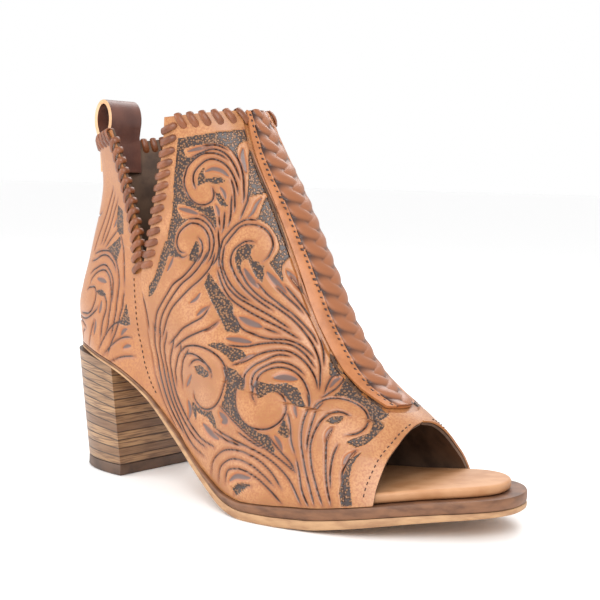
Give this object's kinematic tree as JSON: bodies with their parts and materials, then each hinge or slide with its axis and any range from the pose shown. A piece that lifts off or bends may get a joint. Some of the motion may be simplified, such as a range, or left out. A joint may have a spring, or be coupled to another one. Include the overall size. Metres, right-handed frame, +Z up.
{
  "type": "open toe western ankle boot",
  "caption": "Right ankle boot of tooled leather with an open toe, side notches in the collar, braided front strip and stacked block heel.",
  "frame": {"origin": "middle of the boot's bounding box in plan, on the floor", "axes": "+X towards the toe, +Y towards the inner side of the foot, +Z up"},
  "size_m": [0.2418, 0.0952, 0.1796],
  "materials": {
    "tooled_leather": "carved, antiqued, satin",
    "lace_leather": "satin",
    "lining_leather": "matt",
    "pale_sole_leather": "matt edge",
    "dark_sole_leather": "matt edge",
    "heel_stack": "waxed layers",
    "top_lift_rubber": "matt"
  },
  "bodies": {
    "root": {"upper": "tooled_leather", "braided_strip": "lace_leather", "pull_loop": "lace_leather", "insole": "lining_leather", "midsole": "dark_sole_leather", "outsole": "pale_sole_leather", "heel_block": "heel_stack", "top_lift": "top_lift_rubber"}
  },
  "joints": []
}
